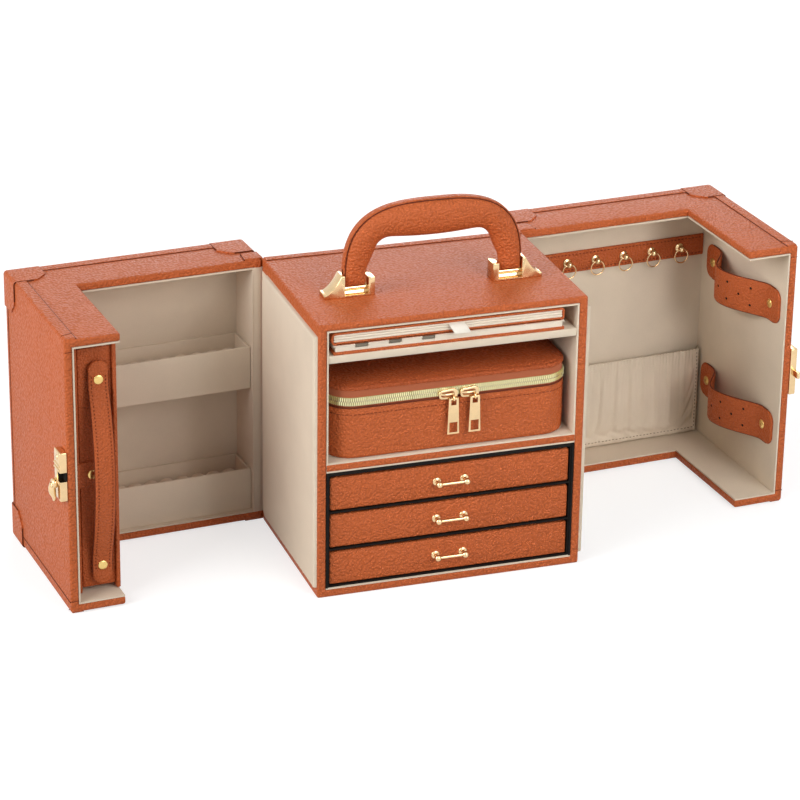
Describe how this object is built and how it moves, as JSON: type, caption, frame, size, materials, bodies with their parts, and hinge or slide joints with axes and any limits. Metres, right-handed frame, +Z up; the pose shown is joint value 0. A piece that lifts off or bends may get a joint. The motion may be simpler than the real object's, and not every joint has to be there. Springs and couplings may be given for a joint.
{
  "type": "leather jewellery case",
  "caption": "Upright leather travel jewellery case: two L-shaped doors open on drawers, a zip pouch, folders, ring trays, a book wallet, hooks and a gathered pocket.",
  "frame": {"origin": "middle of the case's base, on the surface it stands on", "axes": "+Z up, -Y out of the drawers' fronts, +X to the right as seen from the front"},
  "size_m": [0.5781, 0.2008, 0.277],
  "materials": {
    "tan_leather": "pebbled tan leather",
    "taupe_lining": "matt taupe suede cloth",
    "black_board": "matt black board",
    "pale_gold": "polished pale gold",
    "zip_tape": "woven tape with gold teeth"
  },
  "bodies": {
    "case": {"case_shell": "tan_leather", "case_lining": "taupe_lining", "slot_shelf": "taupe_lining", "compartment_divider": "tan_leather", "drawer_housing": "black_board", "side_pads": "taupe_lining", "handle_brackets": "pale_gold", "left_hinge_strip": "tan_leather", "right_hinge_strip": "tan_leather"},
    "handle": {"handle_grip": "tan_leather", "handle_edge_strip": "tan_leather", "handle_pins": "pale_gold"},
    "left_door": {"left_door_walls": "tan_leather", "left_door_ledges": "tan_leather", "left_door_lining": "taupe_lining", "left_door_corners": "tan_leather", "ring_trays": "taupe_lining", "ring_rolls": "taupe_lining", "lock_case": "pale_gold"},
    "lock_lever": {"lock_lever": "pale_gold"},
    "wallet": {"wallet_covers": "tan_leather", "wallet_box": "tan_leather", "wallet_straps": "tan_leather", "wallet_rivets": "pale_gold"},
    "right_door": {"right_door_walls": "tan_leather", "right_door_ledges": "tan_leather", "right_door_lining": "taupe_lining", "right_door_corners": "tan_leather", "hasp_plate": "pale_gold", "hook_strip": "tan_leather", "hook_studs": "pale_gold", "gathered_pocket": "taupe_lining", "earring_straps": "tan_leather", "earring_rivets": "pale_gold"},
    "pouch": {"pouch_base": "tan_leather", "pouch_zip": "zip_tape", "pouch_lid": "tan_leather"},
    "upper_folder": {"upper_folder_cover": "tan_leather", "upper_folder_pages": "taupe_lining"},
    "lower_folder": {"lower_folder_cover": "tan_leather", "lower_folder_tray": "taupe_lining"},
    "drawer_1": {"drawer_1_box": "taupe_lining", "drawer_1_front": "tan_leather", "drawer_1_pull": "pale_gold"},
    "drawer_2": {"drawer_2_box": "taupe_lining", "drawer_2_front": "tan_leather", "drawer_2_pull": "pale_gold"},
    "drawer_3": {"drawer_3_box": "taupe_lining", "drawer_3_front": "tan_leather", "drawer_3_pull": "pale_gold"},
    "zip_slider_left": {"pouch_slider_left": "pale_gold"},
    "zip_pull_left": {"pouch_pull_left": "pale_gold"},
    "zip_slider_right": {"pouch_slider_right": "pale_gold"},
    "zip_pull_right": {"pouch_pull_right": "pale_gold"},
    "ring_1": {"hook_ring_1": "pale_gold"},
    "ring_2": {"hook_ring_2": "pale_gold"},
    "ring_3": {"hook_ring_3": "pale_gold"},
    "ring_4": {"hook_ring_4": "pale_gold"},
    "ring_5": {"hook_ring_5": "pale_gold"},
    "ring_6": {"hook_ring_6": "pale_gold"}
  },
  "joints": [
    {"name": "left_door_swing", "type": "hinge", "parent": "case", "child": "left_door", "pos_m": [-0.1, 0.069, 0], "axis": [0, 0, -1], "range_deg": [-85.7, 34.3], "deforming": ["left_hinge_strip"]},
    {"name": "right_door_swing", "type": "hinge", "parent": "case", "child": "right_door", "pos_m": [0.1, 0.069, 0], "axis": [0, 0, 1], "range_deg": [-94.2, 25.8], "deforming": ["right_hinge_strip"]},
    {"name": "handle_fold", "type": "hinge", "parent": "case", "child": "handle", "pos_m": [0, -0.018, 0.2152], "axis": [1, 0, 0], "range_deg": [-72, 72]},
    {"name": "drawer_1_slide", "type": "slide", "parent": "case", "child": "drawer_1", "axis": [0, -1, 0], "range_m": [0, 0.095]},
    {"name": "drawer_2_slide", "type": "slide", "parent": "case", "child": "drawer_2", "axis": [0, -1, 0], "range_m": [0, 0.095]},
    {"name": "drawer_3_slide", "type": "slide", "parent": "case", "child": "drawer_3", "axis": [0, -1, 0], "range_m": [0, 0.095]},
    {"name": "pouch_lift_out", "type": "slide", "parent": "case", "child": "pouch", "axis": [0, -1, 0], "range_m": [0, 0.14]},
    {"name": "upper_folder_lift_out", "type": "slide", "parent": "case", "child": "upper_folder", "axis": [0, -1, 0], "range_m": [0, 0.14]},
    {"name": "lower_folder_lift_out", "type": "slide", "parent": "case", "child": "lower_folder", "axis": [0, -1, 0], "range_m": [0, 0.14]},
    {"name": "wallet_lift_out", "type": "slide", "parent": "left_door", "child": "wallet", "axis": [0.075, -0.9972, 0], "range_m": [0, 0.135]},
    {"name": "lock_lever_turn", "type": "hinge", "parent": "left_door", "child": "lock_lever", "pos_m": [-0.27917, -0.03412, 0.1], "axis": [-0.9972, -0.075, 0], "range_deg": [0, 60]},
    {"name": "zip_left_slide", "type": "slide", "parent": "pouch", "child": "zip_slider_left", "axis": [-1, 0, 0], "range_m": [0, 0.05]},
    {"name": "zip_left_pull_swing", "type": "hinge", "parent": "zip_slider_left", "child": "zip_pull_left", "pos_m": [-0.0002, -0.06996, 0.1437], "axis": [-1, 0, 0], "range_deg": [0, 100]},
    {"name": "zip_right_slide", "type": "slide", "parent": "pouch", "child": "zip_slider_right", "axis": [1, 0, 0], "range_m": [0, 0.05]},
    {"name": "zip_right_pull_swing", "type": "hinge", "parent": "zip_slider_right", "child": "zip_pull_right", "pos_m": [0.0158, -0.06996, 0.1437], "axis": [-1, 0, 0], "range_deg": [0, 100]},
    {"name": "ring_1_swing", "type": "hinge", "parent": "right_door", "child": "ring_1", "pos_m": [0.12998, 0.10048, 0.1645], "axis": [-0.9973, -0.0732, 0], "range_deg": [-12, 75]},
    {"name": "ring_2_swing", "type": "hinge", "parent": "right_door", "child": "ring_2", "pos_m": [0.15391, 0.10224, 0.1645], "axis": [-0.9973, -0.0732, 0], "range_deg": [-12, 75]},
    {"name": "ring_3_swing", "type": "hinge", "parent": "right_door", "child": "ring_3", "pos_m": [0.17785, 0.104, 0.1645], "axis": [-0.9973, -0.0732, 0], "range_deg": [-12, 75]},
    {"name": "ring_4_swing", "type": "hinge", "parent": "right_door", "child": "ring_4", "pos_m": [0.20178, 0.10575, 0.1645], "axis": [-0.9973, -0.0732, 0], "range_deg": [-12, 75]},
    {"name": "ring_5_swing", "type": "hinge", "parent": "right_door", "child": "ring_5", "pos_m": [0.22572, 0.10751, 0.1645], "axis": [-0.9973, -0.0732, 0], "range_deg": [-12, 75]},
    {"name": "ring_6_swing", "type": "hinge", "parent": "right_door", "child": "ring_6", "pos_m": [0.24965, 0.10927, 0.1645], "axis": [-0.9973, -0.0732, 0], "range_deg": [-12, 75]}
  ]
}
